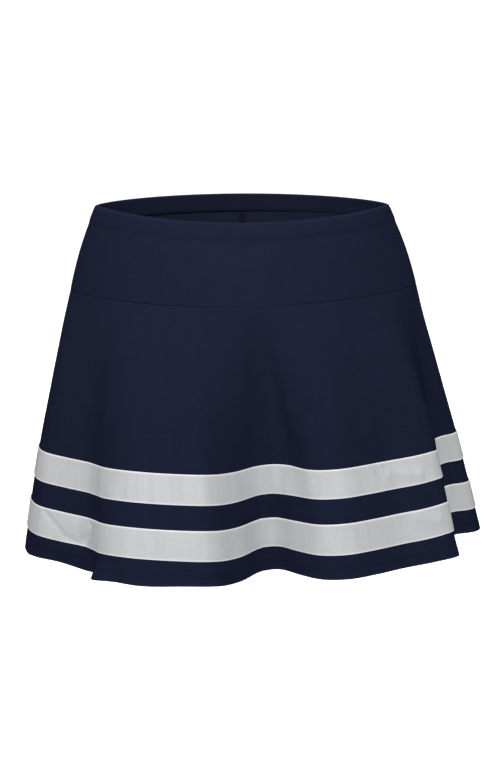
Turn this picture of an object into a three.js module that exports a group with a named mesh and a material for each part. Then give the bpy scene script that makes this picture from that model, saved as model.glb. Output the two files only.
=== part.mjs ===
// Cheer skort: wide knit yoke with an elastic waist casing, a flared flounce with two
// applied stripes, and fitted shorts sewn in under the casing.
// Millimetres. X to the wearer's left, Y towards the wearer's back, Z up.
// The origin is the centre of the waist opening; the rim dips a little at front and back.
import * as THREE from 'three';

// waist, yoke and casing
const RIM_HALF_WIDTH = 150;
const RIM_HALF_DEPTH = 88;
const RIM_DIP_FRONT = 6;
const RIM_DIP_BACK = 3;
const YOKE_DEPTH = 86;
const SEAM_HALF_WIDTH = 178;
const SEAM_HALF_DEPTH = 118;
const YOKE_BULGE = 0.3;
// How rounded the ends of the waist are in plan: 0 gives sharp ends.
const LENS_ROUND = 0.02;
const ELASTIC_WIDTH = 16;
const CASING_ROOM = 4;
const CASING_DEPTH = ELASTIC_WIDTH + CASING_ROOM;
const ELASTIC_THICKNESS = 1.2;

// cloth
const CLOTH = 0.9;
const STRIPE_CLOTH = 0.7;
const GAP = 0.3;
const SEAM_CLEARANCE = 0.6;
const OVERLOCK_WIDTH = 7;
const OVERLOCK_THICKNESS = 1;
const SEAM_GAP = 0.8;

// flounce
const FLOUNCE_LENGTH = 280;
const FLOUNCE_BULGE = 0.4;
const STRIPE_HEIGHT = 31;
const BAND_GAP = 25.5;
const HEM_BAND = 25.5;
const HEM_STITCH = 10;

// shorts
const CROTCH_DEPTH = 245;
const CROTCH_BLEND = 95;
const INSEAM = 80;
const LEG_TAPER = 10;
const LEG_EASE = 13;
// The pointed plan of the waist carries on this far down the shorts before it rounds off.
const LENS_FADE = 40;
// Fraction of the crotch depth, then how far the shorts stay inside the yoke seam's half
// width and half depth at that level.
const SHORTS_EASE = [[0.24, 21, 22], [0.35, 22, 22], [0.53, 19, 24], [0.74, 16, 27], [1, 16, 32]];

// label
const LABEL_WIDTH = 30;
const LABEL_HEIGHT = 46;
const LABEL_ANGLE = 34;
const LABEL_DROP = 8;
const LABEL_INSET = 8;
const LABEL_FORWARD = 5;

// Plan of the hem as it hangs: one point at each crest, valley and turn, starting at the
// centre back and going round by the wearer's right side, the front and the left side. It is
// drawn for a yoke seam of the base half sizes and graded with the seam.
const BASE_SEAM = [178, 118];
const HEM_PLAN = [
  [-10, 160], [-62, 172], [-108, 150], [-140, 124], [-178, 112], [-206, 78], [-216, 36],
  [-234, 0], [-220, -48], [-192, -70], [-166, -92], [-156, -112], [-149, -134], [-135, -154],
  [-113, -168], [-78, -168], [-38, -171], [-10, -134], [12, -96], [32, -90], [52, -108],
  [78, -134], [104, -140], [130, -125], [160, -106], [192, -97], [219, -82], [209, -42],
  [204, -14], [217, 1], [244, 16], [241, 50], [206, 92], [156, 118], [112, 150], [70, 168],
  [30, 152],
];

const YOKE_COLUMNS = 22;
const RING_COLUMNS = 44;
const SHORTS_COLUMNS = 11;
const CURVE_STEPS = 24;

const RAD = Math.PI / 180;
const lerp = (a, b, t) => a + (b - a) * t;
const bulge = (t, k) => t + k * t * (1 - t);
const smooth = (t) => {
  const c = Math.min(1, Math.max(0, t));
  return c * c * (3 - 2 * c);
};

function material(name, colour, roughness) {
  const m = new THREE.MeshStandardMaterial({ color: colour, roughness, metalness: 0 });
  m.name = name;
  return m;
}

const NAVY = () => material('navy_knit', 0x1f2438, 0.9);
const LINING = () => material('navy_lining', 0x1a1e2e, 0.9);
const WHITE = () => material('stripe_knit', 0xcacccd, 0.85);
const THREAD = () => material('navy_thread', 0x232a44, 0.7);
const ELASTIC = () => material('elastic', 0x2a2c33, 0.8);
const LABEL = () => material('label', 0xe6e6e2, 0.8);

const group = new THREE.Group();
group.name = 'cheer_skort';

// Six times the enclosed volume; negative when the faces point inwards.
function signedVolume(points, triangles) {
  let sum = 0;
  for (const [i, j, k] of triangles) {
    const [a, b, c] = [points[i], points[j], points[k]];
    sum += a[0] * (b[1] * c[2] - b[2] * c[1]);
    sum += a[1] * (b[2] * c[0] - b[0] * c[2]);
    sum += a[2] * (b[0] * c[1] - b[1] * c[0]);
  }
  return sum;
}

function addMesh(name, points, faces, mat) {
  const inward = signedVolume(points, faces) < 0;
  const triangles = inward ? faces.map(([i, j, k]) => [i, k, j]) : faces;
  const geometry = new THREE.BufferGeometry();
  geometry.setAttribute('position', new THREE.Float32BufferAttribute(points.flat(), 3));
  geometry.setIndex(triangles.flat());
  geometry.computeVertexNormals();
  const mesh = new THREE.Mesh(geometry, mat);
  mesh.name = name;
  group.add(mesh);
}

// A closed solid from a strip of equal closed sections; each section is a list of points
// going round, and the strip itself is open (capped) or closed into a ring. Both faces split
// their quads the same way, so layers of cloth that share a grid nest without touching.
function sweepSections(name, sections, closed, mat) {
  const n = sections[0].length;
  const count = sections.length;
  const points = sections.flat();
  const triangles = [];
  const spans = closed ? count : count - 1;
  for (let i = 0; i < spans; i += 1) {
    const a = i * n;
    const b = ((i + 1) % count) * n;
    for (let j = 0; j < n; j += 1) {
      const k = (j + 1) % n;
      if (j < n / 2) {
        triangles.push([a + j, b + j, b + k]);
        triangles.push([a + j, b + k, a + k]);
      } else {
        triangles.push([a + j, b + j, a + k]);
        triangles.push([b + j, b + k, a + k]);
      }
    }
  }
  if (!closed) {
    const last = (count - 1) * n;
    for (const [p, q, r] of capTriangles(n)) {
      triangles.push([p, q, r]);
      triangles.push([last + p, last + r, last + q]);
    }
  }
  addMesh(name, points, triangles, mat);
}

// Section points run out along one face and back along the other, so point j faces n-1-j.
function capTriangles(n) {
  const out = [];
  for (let j = 0; j < n / 2 - 1; j += 1) {
    const m = n - 1 - j;
    out.push([j, j + 1, m - 1]);
    out.push([j, m - 1, m]);
  }
  if (n % 2 === 1) {
    const h = (n - 1) / 2;
    return [...out.slice(0, (h - 1) * 2), [h - 1, h, h + 1]];
  }
  return out;
}

// ---------------------------------------------------------------- yoke and waist
function rimDip(u) {
  const c = Math.cos(u);
  return (c > 0 ? RIM_DIP_FRONT : RIM_DIP_BACK) * c * c;
}

// Depth of the waist in plan for cos u: between an ellipse and a pointed lens.
function lens(c) {
  return c * ((c * c + LENS_ROUND) / (1 + LENS_ROUND)) ** 0.25;
}

// How fast the plan depth changes with u.
function lensTurn(u) {
  const h = 1e-4;
  return (lens(Math.cos(u + h)) - lens(Math.cos(u - h))) / (2 * h);
}

// u is the angle from the front centre, positive to the wearer's left; inset is measured
// square to the wall in plan, depth down from the rim.
function yokePoint(u, inset, depth) {
  const full = YOKE_DEPTH - SEAM_CLEARANCE;
  const q = depth / full;
  const g = bulge(q, YOKE_BULGE);
  const a = lerp(RIM_HALF_WIDTH, SEAM_HALF_WIDTH, g);
  const b = lerp(RIM_HALF_DEPTH, SEAM_HALF_DEPTH, g);
  const nx = -b * lensTurn(u);
  const ny = a * Math.cos(u);
  const nl = Math.hypot(nx, ny);
  const x = a * Math.sin(u) - (inset * nx) / nl;
  const r = b * lens(Math.cos(u)) - (inset * ny) / nl;
  return [x, -r, -rimDip(u) * (1 - q) - full * q];
}

const ELASTIC_IN = CLOTH + GAP;
const LIP_OUT = ELASTIC_IN + ELASTIC_THICKNESS + GAP;
const LIP_IN = LIP_OUT + CLOTH;
const YOKE_BOTTOM = YOKE_DEPTH - SEAM_CLEARANCE;

const YOKE_UPPER = lerp(CASING_DEPTH, YOKE_BOTTOM, 1 / 3);
const YOKE_LOWER = lerp(CASING_DEPTH, YOKE_BOTTOM, 2 / 3);

// Section of a yoke panel: outer skin, fold over the rim, casing lip inside.
const YOKE_SECTION = [
  [CLOTH, YOKE_BOTTOM], [0, YOKE_BOTTOM], [0, YOKE_LOWER], [0, YOKE_UPPER], [0, CASING_DEPTH],
  [0, CLOTH], [0.6, 0], [LIP_IN - 0.6, 0], [LIP_IN, CLOTH], [LIP_IN, CASING_DEPTH],
  [LIP_OUT, CASING_DEPTH], [LIP_OUT, CLOTH], [CLOTH, CLOTH], [CLOTH, CASING_DEPTH],
  [CLOTH, YOKE_UPPER], [CLOTH, YOKE_LOWER],
];

// End cap of the folded section, listed by hand because the section is not convex.
const YOKE_CAP = [
  [0, 1, 2], [0, 2, 15], [15, 2, 3], [15, 3, 14], [14, 3, 4], [14, 4, 13], [13, 4, 5],
  [13, 5, 12], [12, 5, 6], [12, 6, 7], [12, 7, 11], [11, 7, 8], [11, 8, 9], [11, 9, 10],
];

function yokePanel(name, start) {
  const edge = 0.0014;
  const n = YOKE_SECTION.length;
  const points = [];
  const triangles = [];
  for (let i = 0; i <= YOKE_COLUMNS; i += 1) {
    const u = start + lerp(edge, Math.PI - edge, i / YOKE_COLUMNS);
    for (const [inset, depth] of YOKE_SECTION) {
      points.push(yokePoint(u, inset, depth));
    }
  }
  for (let i = 0; i < YOKE_COLUMNS; i += 1) {
    for (let j = 0; j < n; j += 1) {
      const k = (j + 1) % n;
      const a = i * n + j;
      const b = i * n + k;
      if (YOKE_SECTION[k][1] > YOKE_SECTION[j][1]) {
        triangles.push([a, a + n, b]);
        triangles.push([a + n, b + n, b]);
      } else {
        triangles.push([a, a + n, b + n]);
        triangles.push([a, b + n, b]);
      }
    }
  }
  const last = YOKE_COLUMNS * n;
  for (const [p, q, r] of YOKE_CAP) {
    triangles.push([p, q, r]);
    triangles.push([last + p, last + r, last + q]);
  }
  addMesh(name, points, triangles, NAVY());
}

yokePanel('yoke_front', -Math.PI / 2);
yokePanel('yoke_back', Math.PI / 2);

// A band that follows the yoke wall all the way round.
function yokeRing(name, corners, mat) {
  const sections = [];
  for (let i = 0; i < RING_COLUMNS; i += 1) {
    const u = (i / RING_COLUMNS) * 2 * Math.PI;
    sections.push(corners.map(([inset, depth]) => yokePoint(u, inset, depth)));
  }
  sweepSections(name, sections, true, mat);
}

const elasticOut = ELASTIC_IN + ELASTIC_THICKNESS;
const elasticTop = CASING_ROOM / 2;
yokeRing('waist_elastic', [
  [ELASTIC_IN, ELASTIC_WIDTH + elasticTop], [ELASTIC_IN, elasticTop], [elasticOut, elasticTop],
  [elasticOut, ELASTIC_WIDTH + elasticTop],
], ELASTIC());
yokeRing('casing_thread', [
  [LIP_IN + GAP, CASING_DEPTH - 2.4], [LIP_IN + GAP, CASING_DEPTH - 3.6],
  [LIP_IN + GAP + 0.6, CASING_DEPTH - 3],
], THREAD());
yokeRing('yoke_seam_overlock', [
  [CLOTH + GAP, YOKE_BOTTOM - 0.5], [CLOTH + GAP, YOKE_BOTTOM - 0.5 - OVERLOCK_WIDTH],
  [CLOTH + GAP + OVERLOCK_THICKNESS, YOKE_BOTTOM - 0.5 - OVERLOCK_WIDTH],
  [CLOTH + GAP + OVERLOCK_THICKNESS, YOKE_BOTTOM - 0.5],
], THREAD());

// Seam allowance of a yoke side seam, pressed flat against the inside of the wall.
function yokeSideSeam(name, side) {
  const half = 0.09;
  const sections = [];
  const rows = [CASING_DEPTH + 9, YOKE_UPPER, YOKE_LOWER, YOKE_BOTTOM - OVERLOCK_WIDTH - 3];
  for (const depth of rows) {
    const near = CLOTH + SEAM_GAP;
    const far = near + OVERLOCK_THICKNESS;
    sections.push([
      yokePoint(side * (Math.PI / 2) - half, near, depth),
      yokePoint(side * (Math.PI / 2) + half, near, depth),
      yokePoint(side * (Math.PI / 2) + half, far, depth),
      yokePoint(side * (Math.PI / 2) - half, far, depth),
    ]);
  }
  sweepSections(name, sections, false, THREAD());
}

yokeSideSeam('yoke_side_seam_left', 1);
yokeSideSeam('yoke_side_seam_right', -1);

// ---------------------------------------------------------------- flounce
// Smooth closed curve through the plan points, with its running length.
function closedCurve(plan) {
  const count = plan.length;
  const points = [];
  const knotIndex = [];
  const dist = (p, q) => Math.hypot(q[0] - p[0], q[1] - p[1]);
  for (let i = 0; i < count; i += 1) {
    const p0 = plan[(i + count - 1) % count];
    const p1 = plan[i];
    const p2 = plan[(i + 1) % count];
    const p3 = plan[(i + 2) % count];
    const d0 = dist(p0, p1);
    const d1 = dist(p1, p2);
    const d2 = dist(p2, p3);
    knotIndex.push(points.length);
    for (let j = 0; j < CURVE_STEPS; j += 1) {
      const t = j / CURVE_STEPS;
      const point = [0, 1].map((c) => {
        const m1 = ((p2[c] - p0[c]) / (d0 + d1)) * d1;
        const m2 = ((p3[c] - p1[c]) / (d1 + d2)) * d1;
        const t2 = t * t;
        const t3 = t2 * t;
        return (2 * t3 - 3 * t2 + 1) * p1[c] + (t3 - 2 * t2 + t) * m1
          + (3 * t2 - 2 * t3) * p2[c] + (t3 - t2) * m2;
      });
      points.push(point);
    }
  }
  points.push(points[0]);
  return withLength(points, knotIndex);
}

function withLength(points, knotIndex) {
  const lengths = [0];
  for (let i = 1; i < points.length; i += 1) {
    const d = Math.hypot(points[i][0] - points[i - 1][0], points[i][1] - points[i - 1][1]);
    lengths.push(lengths[i - 1] + d);
  }
  return { points, lengths, total: lengths[lengths.length - 1], knotIndex };
}

function alongCurve(curve, fraction) {
  const target = (fraction - Math.floor(fraction)) * curve.total;
  let low = 0;
  let high = curve.lengths.length - 1;
  while (high - low > 1) {
    const mid = (low + high) >> 1;
    if (curve.lengths[mid] <= target) {
      low = mid;
    } else {
      high = mid;
    }
  }
  const span = curve.lengths[high] - curve.lengths[low];
  const t = (target - curve.lengths[low]) / span;
  const p = curve.points[low];
  const q = curve.points[high];
  return [lerp(p[0], q[0], t), lerp(p[1], q[1], t)];
}

const grade = [SEAM_HALF_WIDTH / BASE_SEAM[0], SEAM_HALF_DEPTH / BASE_SEAM[1]];
const hemCurve = closedCurve(HEM_PLAN.map(([x, y]) => [x * grade[0], y * grade[1]]));
const seamPoints = [];
for (let i = 0; i <= 720; i += 1) {
  const u = -Math.PI + (i / 720) * 2 * Math.PI;
  seamPoints.push([SEAM_HALF_WIDTH * Math.sin(u), -SEAM_HALF_DEPTH * lens(Math.cos(u))]);
}
const seamCurve = withLength(seamPoints, []);

// A point of the flounce's outer face: f is the fraction of the way round from the centre
// back, s the distance down the cloth from the yoke seam. Every thread hangs the same length.
function flouncePoint(f, s) {
  const c0 = alongCurve(seamCurve, f);
  const c1 = alongCurve(hemCurve, f);
  const dx = c1[0] - c0[0];
  const dy = c1[1] - c0[1];
  const drop = Math.sqrt(FLOUNCE_LENGTH ** 2 - dx * dx - dy * dy);
  const t = s / FLOUNCE_LENGTH;
  const g = bulge(t, FLOUNCE_BULGE);
  return new THREE.Vector3(c0[0] + dx * g, c0[1] + dy * g, -YOKE_DEPTH - drop * t);
}

function flounceNormal(f, s) {
  const df = 0.0015;
  const ds = 2;
  const along = flouncePoint(f + df, s).sub(flouncePoint(f - df, s));
  const down = flouncePoint(f, s + ds).sub(flouncePoint(f, s - ds));
  return down.cross(along).normalize();
}

function flounceAt(f, s, offset) {
  const p = flouncePoint(f, s);
  if (offset !== 0) {
    p.addScaledVector(flounceNormal(f, s), offset);
  }
  return [p.x, p.y, p.z];
}

// Columns at every plan point and halfway between, with the two side seams among them.
function flounceColumns() {
  const knots = hemCurve.knotIndex.map((i) => hemCurve.lengths[i] / hemCurve.total);
  const columns = [];
  knots.forEach((f, i) => {
    const next = i + 1 < knots.length ? knots[i + 1] : 1;
    columns.push(f);
    columns.push((f + next) / 2);
  });
  for (const side of [0.25, 0.75]) {
    let best = 0;
    columns.forEach((f, i) => {
      if (Math.abs(f - side) < Math.abs(columns[best] - side)) {
        best = i;
      }
    });
    columns[best] = side;
  }
  return columns;
}

const COLUMNS = flounceColumns();
const FRONT_COLUMNS = COLUMNS.filter((f) => f >= 0.25 && f <= 0.75);
const BACK_COLUMNS = [
  ...COLUMNS.filter((f) => f >= 0.75), ...COLUMNS.filter((f) => f <= 0.25).map((f) => f + 1),
];
const STRIPE_ROWS = {
  lower: [FLOUNCE_LENGTH - HEM_BAND - STRIPE_HEIGHT, FLOUNCE_LENGTH - HEM_BAND],
  upper: [
    FLOUNCE_LENGTH - HEM_BAND - 2 * STRIPE_HEIGHT - BAND_GAP,
    FLOUNCE_LENGTH - HEM_BAND - STRIPE_HEIGHT - BAND_GAP,
  ],
};
const PANEL_ROWS = [
  ...[0, 1, 2, 3].map((i) => (i / 4) * STRIPE_ROWS.upper[0]),
  ...STRIPE_ROWS.upper, ...STRIPE_ROWS.lower, FLOUNCE_LENGTH,
];

function flouncePanel(name, columns, rows, near, far, mat) {
  const edge = 0.00011;
  const sections = columns.map((f, i) => {
    let at = f;
    if (i === 0) {
      at = f + edge;
    }
    if (i === columns.length - 1) {
      at = f - edge;
    }
    const down = rows.map((s) => flounceAt(at, s, far));
    const up = [...rows].reverse().map((s) => flounceAt(at, s, near));
    return [...down, ...up];
  });
  sweepSections(name, sections, false, mat);
}

flouncePanel('skirt_front', FRONT_COLUMNS, PANEL_ROWS, -CLOTH, 0, NAVY());
flouncePanel('skirt_back', BACK_COLUMNS, PANEL_ROWS, -CLOTH, 0, NAVY());
for (const [level, rows] of Object.entries(STRIPE_ROWS)) {
  const far = GAP + STRIPE_CLOTH;
  flouncePanel(`${level}_stripe_front`, FRONT_COLUMNS, rows, GAP, far, WHITE());
  flouncePanel(`${level}_stripe_back`, BACK_COLUMNS, rows, GAP, far, WHITE());
}

function hemThread() {
  const s = FLOUNCE_LENGTH - HEM_STITCH;
  const sections = COLUMNS.map((f) => [
    flounceAt(f, s - 0.6, GAP), flounceAt(f, s, GAP + 0.6), flounceAt(f, s + 0.6, GAP),
  ]);
  sweepSections('hem_thread', sections, true, THREAD());
}

hemThread();

// Seam allowance laid over the inside of a side seam; its wings lie on the two panels' walls.
function flounceSideSeam(name, f) {
  const i = COLUMNS.indexOf(f);
  const wing = (other, at, offset) => {
    const middle = flounceAt(f, at, offset);
    const away = flounceAt(other, at, offset);
    const span = Math.hypot(...away.map((v, c) => v - middle[c]));
    return middle.map((v, c) => lerp(v, away[c], OVERLOCK_WIDTH / 2 / span));
  };
  const near = -CLOTH - SEAM_GAP;
  const far = near - OVERLOCK_THICKNESS;
  const rows = PANEL_ROWS.map((s) => Math.max(4, Math.min(s, FLOUNCE_LENGTH - 18)));
  const sections = rows.map((at) => [
    wing(COLUMNS[i - 1], at, near), flounceAt(f, at, near), wing(COLUMNS[i + 1], at, near),
    wing(COLUMNS[i + 1], at, far), flounceAt(f, at, far), wing(COLUMNS[i - 1], at, far),
  ]);
  sweepSections(name, sections, false, THREAD());
}

flounceSideSeam('skirt_side_seam_right', 0.25);
flounceSideSeam('skirt_side_seam_left', 0.75);

// ---------------------------------------------------------------- built-in shorts
const SHORTS_TOP = CASING_DEPTH + GAP + 0.1;
const BLEND_START = CROTCH_DEPTH - CROTCH_BLEND;
const SHORTS_LENGTH = CROTCH_DEPTH + INSEAM;
const LEG_CENTRE = (SEAM_HALF_WIDTH - LEG_EASE) / 2;

// Half width and half depth of the shorts at each level; they start under the casing lip.
function torsoTable() {
  const q = bulge(SHORTS_TOP / YOKE_BOTTOM, YOKE_BULGE);
  const top = [
    SHORTS_TOP, lerp(RIM_HALF_WIDTH, SEAM_HALF_WIDTH, q) - LIP_OUT,
    lerp(RIM_HALF_DEPTH, SEAM_HALF_DEPTH, q) - LIP_OUT,
  ];
  const rest = SHORTS_EASE.map(([part, width, depth]) => [
    part * CROTCH_DEPTH, SEAM_HALF_WIDTH - width, SEAM_HALF_DEPTH - depth,
  ]);
  return [top, ...rest];
}

const TORSO = torsoTable();

function torsoSize(drop) {
  let i = 0;
  while (i < TORSO.length - 2 && drop > TORSO[i + 1][0]) {
    i += 1;
  }
  const [d0, a0, b0] = TORSO[i];
  const [d1, a1, b1] = TORSO[i + 1];
  const t = Math.min(1, Math.max(0, (drop - d0) / (d1 - d0)));
  return [lerp(a0, a1, t), lerp(b0, b1, t)];
}

// w runs from the side seam (0) to the centre or inseam (1); drop is below the waist rim.
function shortsPoint(left, front, w, drop) {
  const [a, b] = torsoSize(drop);
  const m = smooth((drop - BLEND_START) / (CROTCH_DEPTH - BLEND_START));
  const half = LEG_CENTRE - LEG_TAPER * Math.max(0, (drop - CROTCH_DEPTH) / INSEAM);
  const q = (w * Math.PI) / 2;
  const p = w * Math.PI;
  const x = lerp(a * Math.cos(q), LEG_CENTRE + half * Math.cos(p), m);
  const oval = smooth((drop - SHORTS_TOP - LENS_FADE) / (BLEND_START - SHORTS_TOP));
  const plan = lerp(lens(Math.sin(q)), Math.sin(q), oval);
  const r = lerp(b * plan, half * 0.98 * Math.sin(p), m);
  const u = Math.asin(Math.min(1, x / RIM_HALF_WIDTH));
  const sink = Math.max(0, 1 - (drop - SHORTS_TOP) / 60);
  const z = -drop - rimDip(front > 0 ? u : Math.PI - u) * 0.76 * sink;
  return new THREE.Vector3(left * Math.max(x, 0.15), -front * Math.max(r, 0.15), z);
}

function shortsAt(left, front, w, drop, offset) {
  const dw = 0.01;
  const low = Math.min(Math.max(w, dw), 1 - dw);
  const dd = 1.5;
  const along = shortsPoint(left, front, low + dw, drop)
    .sub(shortsPoint(left, front, low - dw, drop));
  const down = shortsPoint(left, front, low, drop + dd)
    .sub(shortsPoint(left, front, low, drop - dd));
  const inward = down.cross(along).normalize().multiplyScalar(left * front);
  const p = shortsPoint(left, front, w, drop).addScaledVector(inward, offset);
  return [p.x, p.y, p.z];
}

const SHORTS_ROWS = [
  ...[0, 1, 2, 3, 4].map((i) => lerp(SHORTS_TOP, BLEND_START, i / 5)),
  ...[0, 1, 2, 3, 4].map((i) => lerp(BLEND_START, CROTCH_DEPTH, i / 5)),
  ...[0, 1, 2, 3].map((i) => lerp(CROTCH_DEPTH, SHORTS_LENGTH, i / 3)),
];

function shortsPanel(name, left, front) {
  const sections = [];
  for (let i = 0; i <= SHORTS_COLUMNS; i += 1) {
    const w = i / SHORTS_COLUMNS;
    const outer = SHORTS_ROWS.map((drop) => shortsAt(left, front, w, drop, 0));
    const inner = [...SHORTS_ROWS].reverse().map((drop) => {
      const p = shortsAt(left, front, w, drop, CLOTH);
      if (w === 0) {
        p[1] = -front * Math.max(Math.abs(p[1]), 0.15);
      }
      return p;
    });
    sections.push([...outer, ...inner]);
  }
  sweepSections(name, sections, false, LINING());
}

for (const [side, left] of [['left', 1], ['right', -1]]) {
  for (const [face, front] of [['front', 1], ['back', -1]]) {
    shortsPanel(`shorts_${face}_${side}`, left, front);
  }
}

// Flat seam laid over the inside of the centre seam, from the casing to above the crotch.
function centreSeam(name, front) {
  const sections = [];
  for (const drop of [SHORTS_TOP + 4, ...SHORTS_ROWS.slice(1, 7)]) {
    const layer = (offset) => {
      const wing = shortsAt(1, front, 0.975, drop, offset);
      const middle = shortsAt(1, front, 1, drop, offset);
      return [[-wing[0], wing[1], wing[2]], [0, middle[1], middle[2]], wing];
    };
    const near = layer(CLOTH + SEAM_GAP);
    const far = layer(CLOTH + SEAM_GAP + OVERLOCK_THICKNESS);
    sections.push([...near, ...far.reverse()]);
  }
  sweepSections(name, sections, false, THREAD());
}

centreSeam('shorts_front_seam', 1);
centreSeam('shorts_back_seam', -1);

function shortsSideSeam(name, left) {
  const rows = [SHORTS_TOP + 4, ...SHORTS_ROWS.slice(1, -1)];
  const sections = rows.map((drop) => {
    const layer = (offset) => {
      const middle = shortsAt(left, 1, 0, drop, offset);
      const away = shortsAt(left, 1, 1 / SHORTS_COLUMNS, drop, offset);
      const span = Math.hypot(...away.map((v, c) => v - middle[c]));
      const front = middle.map((v, c) => lerp(v, away[c], OVERLOCK_WIDTH / 2 / span));
      return [front, [middle[0], 0, middle[2]], [front[0], -front[1], front[2]]];
    };
    const near = layer(CLOTH + SEAM_GAP);
    const far = layer(CLOTH + SEAM_GAP + OVERLOCK_THICKNESS);
    return [...near, ...far.reverse()];
  });
  sweepSections(name, sections, false, THREAD());
}

shortsSideSeam('shorts_side_seam_left', 1);
shortsSideSeam('shorts_side_seam_right', -1);

function legThread(name, left) {
  const drop = SHORTS_LENGTH - 12;
  const ring = [];
  for (let i = 0; i <= SHORTS_COLUMNS; i += 1) {
    ring.push([1, i / SHORTS_COLUMNS]);
  }
  for (let i = SHORTS_COLUMNS - 1; i > 0; i -= 1) {
    ring.push([-1, i / SHORTS_COLUMNS]);
  }
  const sections = ring.map(([front, w]) => [
    shortsAt(left, front, w, drop - 0.6, -GAP), shortsAt(left, front, w, drop, -GAP - 0.6),
    shortsAt(left, front, w, drop + 0.6, -GAP),
  ]);
  sweepSections(name, sections, true, THREAD());
}

legThread('leg_hem_thread_left', 1);
legThread('leg_hem_thread_right', -1);

// ---------------------------------------------------------------- care label
function careLabel() {
  const geometry = new THREE.BoxGeometry(0.5, LABEL_WIDTH, LABEL_HEIGHT);
  geometry.translate(0, -LABEL_WIDTH / 2, 0);
  geometry.rotateZ(-LABEL_ANGLE * RAD);
  const top = CASING_DEPTH + LABEL_DROP;
  const wall = Math.min(torsoSize(SHORTS_TOP)[0], torsoSize(top + LABEL_HEIGHT)[0]);
  geometry.translate(wall - LABEL_INSET, -LABEL_FORWARD, -top - LABEL_HEIGHT / 2);
  const mesh = new THREE.Mesh(geometry, LABEL());
  mesh.name = 'care_label';
  group.add(mesh);
}

careLabel();

export default group;
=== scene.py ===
import math

import bpy
import numpy as np
from mathutils import Matrix, Vector


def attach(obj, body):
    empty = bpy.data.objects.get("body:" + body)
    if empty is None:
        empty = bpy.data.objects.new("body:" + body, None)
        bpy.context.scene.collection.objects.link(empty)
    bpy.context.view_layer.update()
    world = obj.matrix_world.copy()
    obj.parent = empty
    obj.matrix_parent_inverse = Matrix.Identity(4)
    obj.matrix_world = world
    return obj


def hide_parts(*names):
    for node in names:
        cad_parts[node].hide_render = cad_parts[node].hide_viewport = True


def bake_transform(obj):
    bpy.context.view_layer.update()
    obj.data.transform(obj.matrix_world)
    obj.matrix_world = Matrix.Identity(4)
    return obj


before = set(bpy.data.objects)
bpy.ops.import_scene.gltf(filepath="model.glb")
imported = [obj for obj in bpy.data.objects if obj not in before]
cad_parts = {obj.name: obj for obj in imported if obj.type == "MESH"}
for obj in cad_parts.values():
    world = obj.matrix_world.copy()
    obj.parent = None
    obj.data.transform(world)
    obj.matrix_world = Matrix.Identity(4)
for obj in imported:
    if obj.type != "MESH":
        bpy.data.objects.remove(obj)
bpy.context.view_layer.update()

MM = 0.001

# ------------------------------------------------------------------ sizes (millimetres)
RIM = (150.0, 88.0)
RIM_DIP = (6.0, 3.0)
SEAM = (178.0, 118.0)
YOKE_DEPTH = 86.0
YOKE_BOTTOM = 85.7
YOKE_BULGE = 0.3
CASING = 20.0
CLOTH = 0.9
ELASTIC_IN = 1.2
ELASTIC_OUT = 2.4
LIP_OUT = 2.7
LIP_IN = 3.6
LENGTH = 280.0
FLOUNCE_BULGE = 0.4
STRIPES = {"upper": (167.0, 198.0), "lower": (223.5, 254.5)}
STRIPE_OUT = 1.0
STRIPE_STITCH = 1.6
HEM_TURN = 15.0
HEM_STITCH = 10.0
CROTCH = 245.0
CROTCH_BLEND = 95.0
INSEAM = 80.0
SHORTS_TOP = 20.4
SHORTS_LENGTH = CROTCH + INSEAM
LEG_CENTRE = (SEAM[0] - 13.0) / 2
LEG_TAPER = 10.0
# Shorts: share of the crotch depth, then how much narrower and shallower than the seam line.
SHORTS_EASE = ((0.24, 21, 22), (0.35, 22, 22), (0.53, 19, 24), (0.74, 16, 27), (1, 16, 32))

# Plan of the hem as it hangs, from the centre back round by the wearer's right side
HEM_PLAN = np.array([
    (-10, 160), (-62, 172), (-108, 150), (-140, 124), (-178, 112), (-206, 78), (-216, 36),
    (-234, 0), (-220, -48), (-192, -70), (-166, -92), (-156, -112), (-149, -134), (-135, -154),
    (-113, -168), (-78, -168), (-38, -171), (-10, -134), (12, -96), (32, -90), (52, -108),
    (78, -134), (104, -140), (130, -125), (160, -106), (192, -97), (219, -82), (209, -42),
    (204, -14), (217, 1), (244, 16), (241, 50), (206, 92), (156, 118), (112, 150), (70, 168),
    (30, 152),
], float)


def lerp(a, b, t):
    return a + (b - a) * t


def bulge(t, k):
    return t + k * t * (1 - t)


def smooth(t):
    c = np.clip(t, 0, 1)
    return c * c * (3 - 2 * c)


def gauss(x, width):
    return np.exp(-((x / width) ** 2))


def unit(v):
    return v / np.maximum(np.linalg.norm(v, axis=-1, keepdims=True), 1e-9)


# ------------------------------------------------------------------ surfaces
def lens(c):
    """Depth of the waist in plan for cos u: between an ellipse and a pointed lens."""
    return c * ((c * c + 0.02) / 1.02) ** 0.25


def catmull(plan, steps=48):
    """Smooth closed curve through plan, ending where it starts."""
    p0, p1, p2, p3 = (np.roll(plan, k, axis=0)[:, None, :] for k in (1, 0, -1, -2))
    d0, d1, d2 = (np.linalg.norm(b - a, axis=2, keepdims=True)
                  for a, b in ((p0, p1), (p1, p2), (p2, p3)))
    t = np.linspace(0, 1, steps, endpoint=False)[None, :, None]
    m1 = (p2 - p0) / (d0 + d1) * d1
    m2 = (p3 - p1) / (d1 + d2) * d1
    curve = ((2 * t**3 - 3 * t**2 + 1) * p1 + (t**3 - 2 * t**2 + t) * m1
             + (3 * t**2 - 2 * t**3) * p2 + (t**3 - t**2) * m2).reshape(-1, 2)
    return np.vstack([curve, curve[:1]])


def running(points):
    steps = np.linalg.norm(np.diff(points, axis=0), axis=1)
    return np.concatenate([[0], np.cumsum(steps)])


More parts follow.
